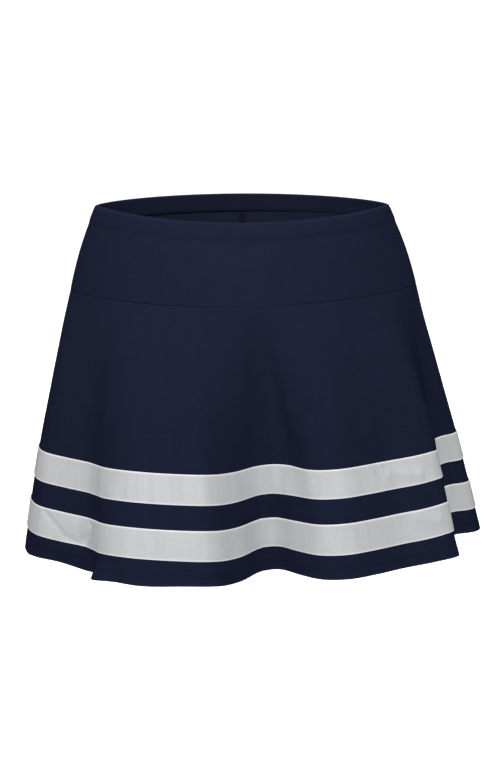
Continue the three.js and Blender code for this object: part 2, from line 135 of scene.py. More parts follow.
def smooth_closed(values, width):
    """Gaussian smoothing of samples round a closed loop."""
    n = len(values)
    k = np.fft.fftfreq(n) * n
    keep = np.exp(-0.5 * (2 * math.pi * k / n * width) ** 2)
    return np.real(np.fft.ifft(np.fft.fft(values, axis=0) * keep[:, None], axis=0))


hem_line = catmull(HEM_PLAN)
hem_run = running(hem_line)
HEM_ROUND = float(hem_run[-1])
RES = 4000
loop_f = np.arange(RES) / RES
hem_even = np.stack([np.interp(loop_f * HEM_ROUND, hem_run, hem_line[:, i]) for i in (0, 1)], 1)
hem_even = smooth_closed(hem_even, RES * 3.0 / HEM_ROUND)
angle = np.linspace(-math.pi, math.pi, 1441)
seam_line = np.stack([SEAM[0] * np.sin(angle), -SEAM[1] * lens(np.cos(angle))], 1)
seam_run = running(seam_line)
SEAM_ROUND = float(seam_run[-1])
seam_even = np.stack([np.interp(loop_f * SEAM_ROUND, seam_run, seam_line[:, i]) for i in (0, 1)], 1)


def around(table, f):
    x = np.mod(f, 1.0) * RES
    i = np.floor(x).astype(int)
    t = (x - i)[..., None]
    return table[i % RES] * (1 - t) + table[(i + 1) % RES] * t


def hem_fraction(x, y):
    gap = np.hypot(hem_even[:, 0] - x, hem_even[:, 1] - y)
    return float(np.argmin(gap)) / RES


FOLD_EDGE = hem_fraction(-147, -138)
FOLD_ROOT = hem_fraction(-158, -108)
LOBE_TIP = hem_fraction(219, -82)
FLAP_SIDE = hem_fraction(-200, -64)
RIGHT_SIDE = hem_fraction(240, 20)
RIGHT_ROOT = hem_fraction(214, 2)
LEFT_LOBE = hem_fraction(-108, -168)


def near_hem(f, place, width):
    """1 at a place round the hem, fading to 0 over width millimetres to each side."""
    return gauss((f - place) * HEM_ROUND, width)[..., None]


def swing(f, s):
    """Where the loose hem edge swings away from the plain hang, in millimetres."""
    tip = near_hem(f, LOBE_TIP, 26)
    loose = near_hem(f, FOLD_EDGE, 15) * np.array([-10.0, -4.0, 0])
    loose = loose + near_hem(f, FOLD_ROOT, 11) * np.array([2.0, 4.0, 0])
    loose = loose + near_hem(f, FLAP_SIDE, 34) * np.array([2.0, 8.0, 0.5])
    loose = loose + near_hem(f, LEFT_LOBE, 34) * np.array([0, 0, -2.6])
    loose = loose + tip * np.array([2.0, 0, -1.6])
    x = (f - 0.5) * HEM_ROUND
    right = smooth((x - 20) / 60) * smooth((330 - x) / 40) * gauss(s - 208, 22)
    lift = smooth((s - 110) / 90) * (5.0 + 2.5 * smooth((s - 185) / 70))
    out = smooth((s - 252) / 32)[..., None] * loose
    out = out + right[..., None] * np.array([0, -1.0, 1.8])
    out = out + smooth((s - 140) / 50)[..., None] * tip * np.array([-4.8, 0, 0])
    return out + lift[..., None] * near_hem(f, RIGHT_ROOT, 32) * np.array([0, 0, 1.0])


def flounce(f, s):
    """Outer face of the flounce: f, fraction round from the centre back; s, distance down."""
    f, s = np.broadcast_arrays(np.asarray(f, float), np.asarray(s, float))
    c0 = around(seam_even, f)
    c1 = around(hem_even, f)
    d = c1 - c0
    drop = np.sqrt(LENGTH**2 - (d**2).sum(-1))
    t = s / LENGTH
    away = np.abs(np.mod(f - RIGHT_SIDE + 0.5, 1) - 0.5)
    g = bulge(t, FLOUNCE_BULGE - 0.18 * gauss(away, 0.05))
    plan = c0 + d * g[..., None]
    return np.concatenate([plan, (-YOKE_DEPTH - drop * t)[..., None]], -1) + swing(f, s)


def normals(surface, f, s, df, ds):
    along = surface(f + df, s) - surface(f - df, s)
    down = surface(f, s + ds) - surface(f, s - ds)
    return unit(np.cross(down, along))


def ripple(f, s):
    """Slow unevenness of hanging cloth, in millimetres, the same every run."""
    x = (f - 0.5) * HEM_ROUND
    out = 0.35 * np.sin(x / 31 + 0.9 * np.sin(s / 57)) * np.sin(s / 83 + 0.4)
    out += 0.22 * np.sin(x / 17.3 + s / 61 + 1.1) * np.sin(s / 40 + x / 90)
    out += 0.12 * np.sin(x / 8.7 - s / 37 + 2.0) * np.sin(x / 47 + s / 23)
    return out * smooth(s / 40)


def seam_pucker(f, s):
    """Tiny gathers that the needle lines pull into the cloth."""
    x = (f - 0.5) * HEM_ROUND
    out = np.zeros_like(x + s)
    for top, bottom in STRIPES.values():
        for line in (top + STRIPE_STITCH, bottom - STRIPE_STITCH):
            wave = np.sin(x / 1.7 + 3 * np.sin(x / 29)) * (0.6 + 0.4 * np.sin(x / 41 + line))
            out += 0.10 * wave * gauss(s - line, 3.0)
    out += 0.12 * np.sin(x / 1.9 + 2 * np.sin(x / 33)) * gauss(s - (LENGTH - HEM_STITCH), 4.0)
    return out


def crease(x, s, start, end, width):
    """1 along the line from start to end, each (distance round, distance down), else 0."""
    (x0, s0), (x1, s1) = start, end
    dx, ds = x1 - x0, s1 - s0
    long = math.hypot(dx, ds)
    t = ((x - x0) * dx + (s - s0) * ds) / long
    off = ((x - x0) * ds - (s - s0) * dx) / long
    return gauss(off, width) * smooth(t / 6 + 0.5) * smooth((long - t) / 6 + 0.5)


def at_hem(x, y):
    return (hem_fraction(x, y) - 0.5) * HEM_ROUND


FLAP = [at_hem(-214, -53), at_hem(-186, -74), at_hem(-170, -89), at_hem(-161, -103)]
LOBE = at_hem(140, -118)
VALLEY = at_hem(16, -95)


def creases(f, s):
    """Dents and drag lines left by the way the flounce hangs."""
    x = (f - 0.5) * HEM_ROUND
    a, b, c, d = FLAP
    out = -1.5 * crease(x, s, (a, 226), (b, 250), 2.6)
    out -= 2.0 * crease(x, s, (b, 250), (c, 252), 3.4)
    out -= 4.8 * crease(x, s, (c, 251), (d, 240), 4.6)
    out -= 3.2 * crease(x, s, (d, 242), (d + 1, 228), 3.8)
    out += 1.4 * gauss(x - (b + c) / 2, 16) * gauss(s - 234, 10)
    middle = VALLEY + 40 - 34 * (1 - s / 180)
    out -= 6.5 * gauss(x - middle, 20) * smooth((s - 3) / 60) * smooth((235 - s) / 90)
    for shift, reach in ((0, 15), (5, 19), (11, 13)):
        out -= 1.5 * crease(x, s, (LOBE + shift, 166), (LOBE + shift + 5, 166 + reach), 1.8)
    out += 1.8 * crease(x, s, (LOBE + 16, 178), (LOBE + 62, 188), 5.5)
    out += 1.6 * crease(x, s, (LOBE + 40, 230), (LOBE + 74, 240), 5.5)
    out -= 0.9 * crease(x, s, (VALLEY, 205), (VALLEY + 2, 262), 3.0)
    return out


def cloth_detail(f, s):
    out = ripple(f, s) + seam_pucker(f, s) + creases(f, s)
    out = out - 0.2 * np.exp(-s / 1.2)
    hem = LENGTH - HEM_STITCH
    out = out + 0.2 * smooth((s - hem + 1) / 5) - 0.3 * gauss(s - hem, 1.1)
    return out


def flounce_at(f, s, offset):
    f, s = np.broadcast_arrays(np.asarray(f, float), np.asarray(s, float))
    n = normals(flounce, f, s, 0.0012, 1.5)
    return flounce(f, s) + n * (offset + cloth_detail(f, s))[..., None]


def yoke(u, inset, depth):
    """Yoke wall: u from the centre front, inset square to the wall, depth below the rim."""
    u, inset, depth = np.broadcast_arrays(
        np.asarray(u, float), np.asarray(inset, float), np.asarray(depth, float))
    q = depth / YOKE_BOTTOM
    g = bulge(q, YOKE_BULGE)
    a = lerp(RIM[0], SEAM[0], g)
    b = lerp(RIM[1], SEAM[1], g)
    c = np.cos(u)
    turn = (lens(np.cos(u + 1e-4)) - lens(np.cos(u - 1e-4))) / 2e-4
    n = unit(np.stack([-b * turn, a * c], -1))
    dip = np.where(c > 0, RIM_DIP[0], RIM_DIP[1]) * c * c + 1.0 + 2.0 * np.sin(u)
    dip = dip - 2.2 * np.maximum(-c, 0) ** 1.5
    x = a * np.sin(u) - inset * n[..., 0]
    r = b * lens(c) - inset * n[..., 1]
    return np.stack([x, -r, -dip * (1 - q) - YOKE_BOTTOM * q], -1)


def yoke_detail(u, depth, skin):
    """How far the yoke stands in from its plain wall, in millimetres, on the outer skin."""
    x = u * 150
    gathers = 0.05 + 0.16 * gauss(np.mod(u + math.pi, 2 * math.pi) - math.pi + 1.25, 0.3)
    wave = np.sin(x / 2.3 + 2.2 * np.sin(x / 23)) * gathers
    full = 0.3 + 0.7 * np.abs(np.cos(u))
    out = -1.5 * full * smooth(depth / 4.5) * smooth((CASING - 1 - depth) / 6.5)
    out = out + 0.7 * full * gauss(depth - CASING - 0.5, 4.0) + wave * gauss(depth - CASING, 8.0)
    out = out - 0.35 * np.sin(x / 37 + depth / 29) * smooth((depth - 20) / 30)
    out = out + 0.12 * np.exp(-(YOKE_BOTTOM - depth) / 1.2)
    return out * skin


SHORTS_ROWS_OF_SIZE = [(SHORTS_TOP, *[
    lerp(RIM[i], SEAM[i], bulge(SHORTS_TOP / YOKE_BOTTOM, YOKE_BULGE)) - LIP_OUT for i in (0, 1)
])] + [(part * CROTCH, SEAM[0] - w, SEAM[1] - d) for part, w, d in SHORTS_EASE]


def torso_size(drop):
    rows = np.array(SHORTS_ROWS_OF_SIZE)
    knots = rows[:, 0]
    out = []
    for i in (1, 2):
        line = np.interp(np.linspace(0, CROTCH + 1, 400), knots, rows[:, i])
        kernel = np.hanning(41) / np.hanning(41).sum()
        soft = np.convolve(np.pad(line, 20, mode="edge"), kernel, mode="valid")
        blend_in = smooth((np.linspace(0, CROTCH + 1, 400) - SHORTS_TOP) / 12)
        out.append(np.interp(drop, np.linspace(0, CROTCH + 1, 400), lerp(line, soft, blend_in)))
    return out


def shorts(left, front, w, drop):
    """Outer face of a shorts panel: w from the side seam (0) to the centre or inseam (1)."""
    w, drop = np.broadcast_arrays(np.asarray(w, float), np.asarray(drop, float))
    a, b = torso_size(drop)
    m = smooth((drop - CROTCH + CROTCH_BLEND) / CROTCH_BLEND)
    half = LEG_CENTRE - LEG_TAPER * np.maximum(0, (drop - CROTCH) / INSEAM)
    x = lerp(a * np.cos(w * math.pi / 2), LEG_CENTRE + half * np.cos(w * math.pi), m)
    plan = np.sin(w * math.pi / 2)
    plan = lerp(lens(plan), plan, smooth((drop - SHORTS_TOP - 40) / 130))
    r = lerp(b * plan, half * 0.98 * np.sin(w * math.pi), m)
    c = np.sqrt(np.maximum(0, 1 - np.minimum(1, x / RIM[0]) ** 2))
    dip = (RIM_DIP[0] if front > 0 else RIM_DIP[1]) * c * c * 0.76
    z = -drop - dip * np.maximum(0, 1 - (drop - SHORTS_TOP) / 60)
    return np.stack([left * np.maximum(x, 0.1), -front * np.maximum(r, 0.1), z], -1)


def shorts_at(left, front, w, drop, inset):
    w, drop = np.broadcast_arrays(np.asarray(w, float), np.asarray(drop, float))
    wc = np.clip(w, 0.01, 0.99)
    along = shorts(left, front, wc + 0.01, drop) - shorts(left, front, wc - 0.01, drop)
    down = shorts(left, front, wc, drop + 1.5) - shorts(left, front, wc, drop - 1.5)
    inward = unit(np.cross(down, along)) * left * front
    return shorts(left, front, w, drop) + inward * np.asarray(inset)[..., None]


# ------------------------------------------------------------------ meshes
def new_mesh(name, verts, faces, cloth=None, edge=None):
    mesh = bpy.data.meshes.new(name)
    mesh.from_pydata((np.asarray(verts) * MM).tolist(), [], faces)
    mesh.validate()
    mesh.update()
    mesh.polygons.foreach_set("use_smooth", np.ones(len(mesh.polygons), bool))
    if cloth is not None:
        layer = mesh.attributes.new("cloth", "FLOAT_VECTOR", "POINT")
        layer.data.foreach_set("vector", (np.asarray(cloth, np.float32) * MM).ravel())
    if edge is not None:
        layer = mesh.attributes.new("edge", "FLOAT", "POINT")
        layer.data.foreach_set("value", np.asarray(edge, np.float32).ravel())
    obj = bpy.data.objects.new(name, mesh)
    bpy.context.scene.collection.objects.link(obj)
    return obj


def volume_sign(verts, faces):
    tri = []
    for f in faces:
        for k in range(1, len(f) - 1):
            tri.append((f[0], f[k], f[k + 1]))
    t = np.asarray(verts)[np.array(tri)]
    return float(np.einsum("ij,ij->i", t[:, 0], np.cross(t[:, 1], t[:, 2])).sum())


def skin(name, points, ring=False, cloth=None, edge=None):
    """Closed solid from sections: points[k, i] is point k of the closed section at column i."""
    k, n = points.shape[:2]
    spans = n if ring else n - 1
    col = np.arange(spans)
    nxt = (col + 1) % n
    faces = []
    for j in range(k):
        m = (j + 1) % k
        quad = np.stack([j * n + col, m * n + col, m * n + nxt, j * n + nxt], 1)
        faces.extend(quad.tolist())
    if not ring:
        faces.append([j * n for j in range(k)][::-1])
        faces.append([j * n + n - 1 for j in range(k)])
    verts = points.reshape(-1, 3)
    if volume_sign(verts, faces) < 0:
        faces = [f[::-1] for f in faces]
    obj = new_mesh(name, verts, faces,
                   None if cloth is None else cloth.reshape(-1, 3),
                   None if edge is None else edge.reshape(-1))
    obj.data.set_sharp_from_angle(angle=math.radians(50))
    return obj


def rows_between(start, stop, step, fine=(), fine_step=0.5, reach=3.0):
    """Row positions from start to stop, closer together near each value in fine."""
    rows = set(np.linspace(start, stop, max(2, int(round((stop - start) / step)) + 1)).round(3))
    for x in fine:
        near = np.arange(x - reach, x + reach + 1e-6, fine_step)
        rows |= {float(round(v, 3)) for v in near if start < v < stop}
    out = sorted(rows)
    kept = [out[0]]
    for v in out[1:-1]:
        if v - kept[-1] > fine_step * 0.45:
            kept.append(v)
    kept.append(out[-1])
    return np.array(kept)


def stitches(name, centre, along, normal, length, radius, sink=0.12):
    """A row of small thread stitches lying on cloth."""
    along, normal = unit(along), unit(normal)
    side = unit(np.cross(normal, along))
    rings = ((-0.5, 0.25, -1.0), (-0.36, 0.8, -0.2), (0.0, 1.0, 0.2), (0.36, 0.8, -0.2),
             (0.5, 0.25, -1.0))
    spokes = [2 * math.pi * k / 6 for k in range(6)]
    verts = []
    for t, r, lift in rings:
        for a in spokes:
            verts.append(centre + along * (t * length)
                         + side * (math.cos(a) * r * radius)
                         + normal * (math.sin(a) * r * radius + lift * sink + radius * 0.4))
    verts = np.stack(verts, 1)
    count, per = verts.shape[:2]
    base = []
    for i in range(len(rings) - 1):
        for j in range(6):
            m = (j + 1) % 6
            base.append((i * 6 + j, i * 6 + m, (i + 1) * 6 + m, (i + 1) * 6 + j))
    faces = []
    for c in range(count):
        o = c * per
        faces.extend([tuple(v + o for v in q) for q in base])
        faces.append(tuple(o + j for j in range(6))[::-1])
        faces.append(tuple(o + per - 6 + j for j in range(6)))
    verts = verts.reshape(-1, 3)
    if volume_sign(verts, faces) < 0:
        faces = [f[::-1] for f in faces]
    return new_mesh(name, verts, faces)


# ------------------------------------------------------------------ materials
def srgb(r, g, b):
    out = []
    for v in (r, g, b):
        c = v / 255
        out.append(c / 12.92 if c <= 0.04045 else ((c + 0.055) / 1.055) ** 2.4)
    return (*out, 1.0)


class Nodes:
    """Small helper that adds shader nodes and joins them."""

    def __init__(self, name):
        self.material = bpy.data.materials.new(name)
        self.material.use_nodes = True
        self.tree = self.material.node_tree
        self.bsdf = self.tree.nodes["Principled BSDF"]

    def add(self, kind, **values):
        node = self.tree.nodes.new(kind)
        for key, value in values.items():
            if hasattr(node, key) and key not in node.inputs:
                setattr(node, key, value)
            else:
                node.inputs[key].default_value = value
        return node

    def link(self, a, b):
        self.tree.links.new(a, b)

    def math(self, op, a, b=None, c=None):
        node = self.tree.nodes.new("ShaderNodeMath")
        node.operation = op
        for i, v in enumerate((a, b, c)):
            if v is None:
                continue
            if isinstance(v, (int, float)):
                node.inputs[i].default_value = v
            else:
                self.link(v, node.inputs[i])
        return node.outputs[0]

    def mix(self, factor, a, b):
        node = self.tree.nodes.new("ShaderNodeMix")
        node.data_type = "RGBA"
        for socket, v in ((node.inputs[0], factor), (node.inputs[6], a), (node.inputs[7], b)):
            if isinstance(v, (int, float, tuple)):
                socket.default_value = v
            else:
                self.link(v, socket)
        return node.outputs[2]

    def noise(self, vector, scale, detail=2.0, rough=0.5, stretch=(1, 1, 1)):
        mapping = self.tree.nodes.new("ShaderNodeMapping")
        mapping.inputs["Scale"].default_value = stretch
        self.link(vector, mapping.inputs["Vector"])
        node = self.tree.nodes.new("ShaderNodeTexNoise")
        node.inputs["Scale"].default_value = scale
        node.inputs["Detail"].default_value = detail
        node.inputs["Roughness"].default_value = rough
        self.link(mapping.outputs[0], node.inputs["Vector"])
        return node.outputs["Fac"]

    def ramp(self, factor, low, high):
        node = self.tree.nodes.new("ShaderNodeMapRange")
        node.inputs["From Min"].default_value = low
        node.inputs["From Max"].default_value = high
        self.link(factor, node.inputs["Value"])
        return node.outputs[0]


def knit(name, base, light, dark, edge_colour=None, wale=0.8, course=0.62, depth=0.10,
         heather=0.5, rough=0.85, sheen=0.05, specular=0.08, streak=0.0):
    """Fine jersey knit: columns of V-shaped loops, flecked yarn and a soft surface fuzz."""
    n = Nodes(name)
    cloth = n.add("ShaderNodeAttribute", attribute_name="cloth")
    at = cloth.outputs["Vector"]
    split = n.add("ShaderNodeSeparateXYZ")
    n.link(at, split.inputs[0])
    drift = n.noise(at, 90, 1.0)
    u = n.math("ADD", n.math("MULTIPLY", split.outputs[0], 1000 / wale),
               n.math("MULTIPLY", drift, 1.2))
    v = n.math("MULTIPLY", split.outputs[1], 1000 / course)
    across = n.math("MULTIPLY", n.math("ABSOLUTE", n.math("SUBTRACT", n.math("FRACT", u), 0.5)), 2)
    loop = n.math("FRACT", n.math("MULTIPLY_ADD", across, 0.55, v))
    yarn = n.math("SINE", n.math("MULTIPLY", loop, math.pi))
    gap = n.math("POWER", across, 3)
    height = n.math("SUBTRACT", n.math("MULTIPLY", yarn, 0.6), n.math("MULTIPLY", gap, 0.5))

    fleck = n.noise(at, 900, 3.0, 0.7, (1.0, 0.7, 1.0))
    patch = n.noise(at, 55, 3.0, 0.55)
    colour = n.mix(n.math("MULTIPLY", n.ramp(fleck, 0.40, 0.66), heather), base, light)
    colour = n.mix(n.math("MULTIPLY", n.ramp(fleck, 0.48, 0.34), heather), colour, dark)
    colour = n.mix(n.math("MULTIPLY", n.ramp(patch, 0.35, 0.75), 0.3), colour, dark)
    if streak:
        # Painted shade: random dark streaks running down the stripe, standing in for the shading of
        # fine drape lines.
        painted_streak_shade = n.noise(at, 120, 2.0, 0.5, (1.0, 0.12, 1.0))
        colour = n.mix(n.math("MULTIPLY", n.ramp(painted_streak_shade, 0.40, 0.70), streak), colour, dark)
        slant = n.add("ShaderNodeTexWave", wave_type="BANDS", bands_direction="DIAGONAL")
        slant.inputs["Scale"].default_value = 130
        slant.inputs["Distortion"].default_value = 4
        slant.inputs["Detail Scale"].default_value = 0.6
        n.link(at, slant.inputs["Vector"])
        colour = n.mix(n.math("MULTIPLY", slant.outputs["Fac"], streak * 0.5), colour, dark)
    shade = n.math("MULTIPLY", n.math("SUBTRACT", 1.0, yarn), 0.35)
    colour = n.mix(shade, colour, dark)
    # Mixes edge_colour in by the edge attribute: lighter along folded edges, and painted light on
    # some pieces (a painted highlight on the stripe edges, painted lightening of the upper navy
    # cloth and the inside lip).
    if edge_colour is not None:
        edge = n.add("ShaderNodeAttribute", attribute_name="edge")
        colour = n.mix(edge.outputs["Fac"], colour, edge_colour)
    n.link(colour, n.bsdf.inputs["Base Color"])
    n.link(n.math("MULTIPLY_ADD", fleck, 0.12, rough - 0.06), n.bsdf.inputs["Roughness"])
    n.bsdf.inputs["Specular IOR Level"].default_value = specular
    n.bsdf.inputs["Sheen Weight"].default_value = sheen
    n.bsdf.inputs["Sheen Roughness"].default_value = 0.45
    bump = n.add("ShaderNodeBump", Strength=0.6, Distance=depth * MM)
    fine = n.math("MULTIPLY_ADD", n.noise(at, 2600, 2.0), 0.25, height)
    n.link(fine, bump.inputs["Height"])
    n.link(bump.outputs[0], n.bsdf.inputs["Normal"])
    return n.material


def thread_material(name, base, light, rough=0.55):
    """Twisted polyester thread."""
    n = Nodes(name)
    coords = n.add("ShaderNodeTexCoord").outputs["Object"]
    twist = n.add("ShaderNodeTexWave", wave_type="BANDS", bands_direction="DIAGONAL")
    twist.inputs["Scale"].default_value = 900
    twist.inputs["Distortion"].default_value = 3
    n.link(coords, twist.inputs["Vector"])
    tone = n.noise(coords, 700, 2.0)
    # Painted light and shade: lighter along the raised twist, darker in its grooves.
    colour = n.mix(n.math("MULTIPLY", twist.outputs["Fac"], 0.4), base, light)
    colour = n.mix(n.math("MULTIPLY", tone, 0.25), colour, light)
    n.link(colour, n.bsdf.inputs["Base Color"])
    n.bsdf.inputs["Roughness"].default_value = rough
    n.bsdf.inputs["Specular IOR Level"].default_value = 0.03
    bump = n.add("ShaderNodeBump", Strength=0.5, Distance=0.00008)
    n.link(twist.outputs["Fac"], bump.inputs["Height"])
    n.link(bump.outputs[0], n.bsdf.inputs["Normal"])
    return n.material


ELASTIC_RIB = 1.6
ELASTIC_PICK = 0.9


def elastic_material():
    """Woven elastic: ribs along the band and fine crosswise picks."""
    n = Nodes("woven_elastic")
    cloth = n.add("ShaderNodeAttribute", attribute_name="cloth")
    split = n.add("ShaderNodeSeparateXYZ")
    n.link(cloth.outputs["Vector"], split.inputs[0])
    waves = []
    for output, pitch in ((1, ELASTIC_RIB), (0, ELASTIC_PICK)):
        turn = n.math("MULTIPLY", split.outputs[output], 1000 * math.pi / pitch)
        waves.append(n.math("ABSOLUTE", n.math("SINE", turn)))
    rib, pick = waves
    height = n.math("MULTIPLY_ADD", pick, 0.4, rib)
    # Painted shade: the colour follows the rib height, darker in the grooves between ribs.
    colour = n.mix(n.math("MULTIPLY", height, 0.6), srgb(20, 22, 30), srgb(52, 55, 68))
    n.link(colour, n.bsdf.inputs["Base Color"])
    n.bsdf.inputs["Roughness"].default_value = 0.7
    bump = n.add("ShaderNodeBump", Strength=0.7, Distance=0.0002)
    n.link(height, bump.inputs["Height"])
    n.link(bump.outputs[0], n.bsdf.inputs["Normal"])
    return n.material


def label_material():
    """Blank satin ribbon."""
    n = Nodes("label_satin")
    coords = n.add("ShaderNodeTexCoord").outputs["Object"]
    weave = n.add("ShaderNodeTexWave", wave_type="BANDS", bands_direction="Z")
    weave.inputs["Scale"].default_value = 600
    n.link(coords, weave.inputs["Vector"])
    tone = n.noise(coords, 60, 3.0)
    colour = n.mix(n.math("MULTIPLY", tone, 0.4), srgb(232, 232, 228), srgb(214, 214, 208))
    n.link(colour, n.bsdf.inputs["Base Color"])
    n.bsdf.inputs["Roughness"].default_value = 0.38
    n.bsdf.inputs["Sheen Weight"].default_value = 0.3
    bump = n.add("ShaderNodeBump", Strength=0.3, Distance=0.00005)
    n.link(weave.outputs["Fac"], bump.inputs["Height"])
    n.link(bump.outputs[0], n.bsdf.inputs["Normal"])
    return n.material


# The navy edge_colour is mixed in along the folded rim and hem, and as painted light: the flounce
# lighter towards the top, the yoke lighter, the inside lip much lighter than its shade.
NAVY = knit("navy_jersey", srgb(26, 31, 49), srgb(37, 42, 65), srgb(20, 24, 41),
            edge_colour=srgb(44, 48, 70), heather=0.65, sheen=0.0, specular=0.0)
LINING = knit("navy_compression", srgb(30, 34, 52), srgb(37, 41, 61), srgb(22, 26, 42),
              edge_colour=srgb(38, 42, 60), wale=0.6, course=0.5, depth=0.06, sheen=0.02)
# The stripe edge_colour is a painted highlight along the stripe edges.
WHITE = knit("stripe_jersey", srgb(199, 201, 201), srgb(205, 207, 207), srgb(184, 187, 188),
             edge_colour=srgb(238, 237, 242), wale=0.9, course=0.7, depth=0.10, heather=0.8,
             rough=0.8, sheen=0.03, streak=0.5)
NAVY_THREAD = thread_material("navy_thread", srgb(24, 28, 48), srgb(36, 41, 66))
DARK_THREAD = thread_material("lining_thread", srgb(20, 23, 36), srgb(26, 30, 46))
HEM_THREAD = thread_material("hem_thread", srgb(15, 17, 30), srgb(21, 24, 40))
WHITE_THREAD = thread_material("white_thread", srgb(212, 212, 214), srgb(228, 228, 232))
ELASTIC = elastic_material()
LABEL = label_material()


# ------------------------------------------------------------------ pieces
def dress(obj, material, nodes, body):
    obj.data.materials.append(material)
    if nodes:
        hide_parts(*nodes)
    if body == "skirt":
        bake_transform(obj)
    else:
        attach(obj, body)
    return obj


# yoke panels: outer skin, soft fold over the rim, casing lip inside
YOKE_EDGE = YOKE_DEPTH - 0.06


def yoke_section():
    outer = rows_between(1.2, YOKE_EDGE - 0.2, 2.2, (CASING, YOKE_BOTTOM - 1.5), 0.5, 3.0)[::-1]
    lip = rows_between(1.2, CASING - 0.3, 1.6)
    inner = rows_between(CLOTH + 0.4, YOKE_BOTTOM - 0.3, 4.0)
    section = [(CLOTH * 0.5, YOKE_EDGE, 1)]
    section += [(0.0, d, 1) for d in outer]
    mid = LIP_IN / 2
    for a in np.linspace(0.15, math.pi - 0.15, 9):
        section.append((mid - mid * math.cos(a), 1.2 - 1.2 * math.sin(a), 1 if a < 1.5 else 0))
    section += [(LIP_IN, d, 0) for d in lip]
    section.append(((LIP_IN + LIP_OUT) / 2, CASING, 0))
    section += [(LIP_OUT, d, 0) for d in lip[::-1] if d > CLOTH + 0.5]
    section += [(LIP_OUT - 0.2, CLOTH + 0.1, 0), (CLOTH + 0.2, CLOTH + 0.1, 0)]
    section += [(CLOTH, d, 1) for d in inner]
    return section


def yoke_panel(name, node, start):
    section = yoke_section()
    u = start + np.linspace(0, math.pi, 360)
    points, cloth, lightening = [], [], []
    for inset, depth, outer in section:
        d = yoke_detail(u, depth, float(outer))
        join = 0.7 * gauss(u - 4.41 - depth * 0.0035, 0.012) * smooth((depth - 3) / 2)
        lip_wave = 0 if outer else 0.12 * np.sin(u * 150 / 2.6) * smooth((depth - 8) / 8) - join
        points.append(yoke(u, inset + d + lip_wave, depth))
        cloth.append(np.stack([u * 152, np.full_like(u, depth), np.full_like(u, inset * 40)], 1))
        # Lighter along the rolled rim; the rest is painted light: the outer skin a little lighter,
        # the inside lip much lighter than its shade.
        painted_light = 0.12 if outer else 0.5
        lightening.append(np.full_like(u, 0.35 * gauss(depth, 1.2) + painted_light))
    obj = skin(name, np.array(points), cloth=np.array(cloth), edge=np.array(lightening))
    dress(obj, NAVY, [node], "waist")


def ring_band(name, node, corners, material, count=480, body="waist"):
    """A flat band round the waist: corners are (inset, depth) going round its section."""
    u = np.arange(count) / count * 2 * math.pi
    points = np.array([yoke(u, i, d) for i, d in corners])
    cloth = np.array([np.stack([u * 150, np.full_like(u, d), np.full_like(u, i)], 1)
                      for i, d in corners])
    return dress(skin(name, points, ring=True, cloth=cloth), material, [node], body)


ring_band("waist_elastic_band", "waist_elastic", [
    (ELASTIC_IN, 18.0), (ELASTIC_IN, 2.2), ((ELASTIC_IN + ELASTIC_OUT) / 2, 2.0),
    (ELASTIC_OUT, 2.2), (ELASTIC_OUT, 18.0), ((ELASTIC_IN + ELASTIC_OUT) / 2, 18.2),
], ELASTIC)
yoke_panel("yoke_front_cloth", "yoke_front", -math.pi / 2)
yoke_panel("yoke_back_cloth", "yoke_back", math.pi / 2)


def casing_stitching():
    """Zigzag stitching of the casing lip, seen inside the waist."""
    count = 250
    u = (np.arange(count) + 0.5) / count * 2 * math.pi
    step = 0.55 * (2 * math.pi / count)
    parts = []
    for depth, lean in ((CASING - 3.4, 1), (CASING - 2.0, -1)):
        here = yoke(u, LIP_IN + 0.25, depth)
        ahead = yoke(u + step, LIP_IN + 0.25, depth + 0.9 * lean)
        behind = yoke(u - step, LIP_IN + 0.25, depth - 0.9 * lean)
        inward = yoke(u, LIP_IN + 1.25, depth) - here
        parts.append((here, ahead - behind, inward))
    centre, along, normal = (np.concatenate([p[i] for p in parts]) for i in range(3))
    obj = stitches("casing_stitching", centre, along, normal, 2.6, 0.22)
    return dress(obj, NAVY_THREAD, ["casing_thread"], "waist")


casing_stitching()


def overlock(name, node, path, side, normal, half, thick, material=NAVY_THREAD, body="waist"):
    """Overlocked seam allowance: a narrow band with looped thread across it."""
    n = len(path)
    phase = np.arange(n)
    ridge = 0.5 + 0.5 * np.cos(phase * math.pi)
    side, normal = unit(side), unit(normal)
    offsets = ((-1, 0.0), (-0.9, 0.55), (-0.3, 0.9), (0.3, 0.9), (0.9, 0.55), (1, 0.0), (0.3, 0.0),
               (-0.3, 0.0))
    points = []
    for across, up in offsets:
        lift = up * thick * (0.72 + 0.28 * ridge) if up else 0 * ridge
        reach = across * half * (1 + 0.05 * ridge)
        points.append(path + side * reach[:, None] + normal * lift[:, None])
    run = running(path)
    cloth = np.array([np.stack([run, np.full(n, a * half), np.zeros(n)], 1) for a, _ in offsets])
    obj = skin(name, np.array(points), cloth=cloth)
    return dress(obj, material, [node], body)


def overlock_ring():
    count = 900
    u = np.arange(count) / count * 2 * math.pi
    ridge = 0.5 + 0.5 * np.cos(np.arange(count) * math.pi)
    low, high = YOKE_BOTTOM - 0.9, YOKE_BOTTOM - 7.5
    near = CLOTH + 0.35 + 1.0
    rows = [(near, low), (near, (low + high) / 2), (near, high), (near + 0.6, high + 0.3),
            (near + 0.9, (low + high) / 2), (near + 0.6, low - 0.3)]
    points = [yoke(u, i + 0.15 * ridge * (i > near), d) for i, d in rows]
    return dress(skin("yoke_seam_threads", np.array(points), ring=True), NAVY_THREAD,
                 ["yoke_seam_overlock"], "waist")


overlock_ring()


def yoke_side_seam(name, node, sign):
    depth = np.arange(CASING + 9, YOKE_BOTTOM - 10, 0.8)
    u = sign * math.pi / 2
    path = yoke(u, CLOTH + 0.6, depth)
    side = yoke(u + 0.01, CLOTH + 0.6, depth) - yoke(u - 0.01, CLOTH + 0.6, depth)
    inward = yoke(u, CLOTH + 1.6, depth) - path
    overlock(name, node, path, side, inward, 3.4, 1.0)


yoke_side_seam("yoke_side_seam_left_threads", "yoke_side_seam_left", 1)
yoke_side_seam("yoke_side_seam_right_threads", "yoke_side_seam_right", -1)


